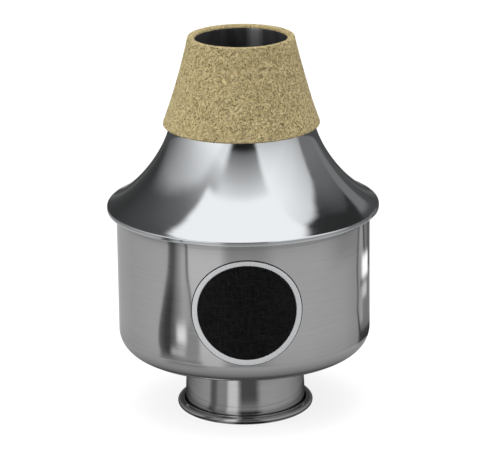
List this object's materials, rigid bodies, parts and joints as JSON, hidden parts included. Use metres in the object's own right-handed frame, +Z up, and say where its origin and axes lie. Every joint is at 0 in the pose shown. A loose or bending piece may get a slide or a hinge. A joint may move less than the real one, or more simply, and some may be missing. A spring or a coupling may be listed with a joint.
{
  "type": "trumpet wah-wah mute",
  "caption": "Spun aluminium trumpet wah-wah mute with a tapered cork collar, a hemmed resonator body and a sliding, turning stem with a rolled-rim cup.",
  "frame": {"origin": "centre of the stem cup's rolled rim on the surface that the mute stands on", "axes": "+Z up along the mute's axis, from the stem cup to the cork collar; the badge faces -Y"},
  "size_m": [0.105, 0.105, 0.1482],
  "materials": {
    "bright_aluminium": "spun and mirror polished",
    "satin_aluminium": "spun and satin brushed round the axis",
    "collar_cork": "sanded composition cork",
    "grip_cork": "natural cork",
    "badge_metal": "etched aluminium",
    "badge_enamel": "semi-gloss black enamel",
    "adhesive_film": "dark adhesive film"
  },
  "bodies": {
    "body": {"upper_shell": "bright_aluminium", "lower_shell": "satin_aluminium", "cork_collar": "collar_cork", "stem_guide": "satin_aluminium", "badge_film": "adhesive_film", "badge_plate": "badge_metal", "badge_field": "badge_enamel"},
    "grip": {"grip_ring": "grip_cork"},
    "stem": {"stem_tube": "satin_aluminium", "stem_cup": "satin_aluminium"}
  },
  "joints": [
    {"name": "stem_turn", "type": "hinge", "parent": "body", "child": "grip", "pos_m": [0, 0, 0.0285], "axis": [0, 0, 1], "continuous": true},
    {"name": "stem_slide", "type": "slide", "parent": "grip", "child": "stem", "axis": [0, 0, -1], "range_m": [0, 0.062]}
  ]
}
